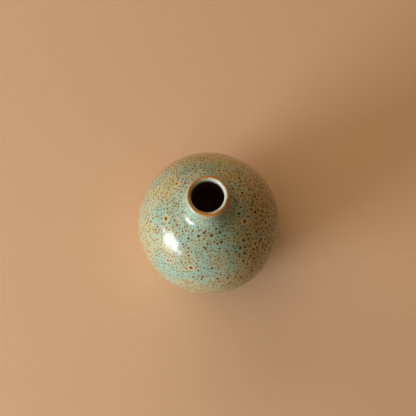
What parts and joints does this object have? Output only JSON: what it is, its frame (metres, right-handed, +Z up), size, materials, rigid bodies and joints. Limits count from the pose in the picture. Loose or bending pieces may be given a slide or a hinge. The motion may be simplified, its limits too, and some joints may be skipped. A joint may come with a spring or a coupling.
{
  "type": "bud vase",
  "caption": "Round glazed stoneware bud vase: a globe with a short neck, a soft rolled lip and a trimmed foot ring, hollow for water and a single stem.",
  "frame": {"origin": "on the table, under the middle of the foot ring", "axes": "+Z up out of the mouth; the vase is round, so +X and +Y are any two level directions"},
  "size_m": [0.08, 0.08, 0.094],
  "materials": {
    "stoneware_clay": "unglazed fired clay, matte, fine grit",
    "speckled_glaze": "glossy sage green glaze with khaki mottling, turquoise flecks and rust freckles",
    "lip_break": "glossy thin glaze, broken to amber brown over the edge",
    "liner_glaze": "satin iron-brown liner, darkest down the throat, with glossy pale celadon lapping over the lip into it"
  },
  "bodies": {
    "root": {"stoneware_body": "stoneware_clay", "outer_glaze": "speckled_glaze", "lip_glaze": "lip_break", "liner_glaze": "liner_glaze"}
  },
  "joints": []
}
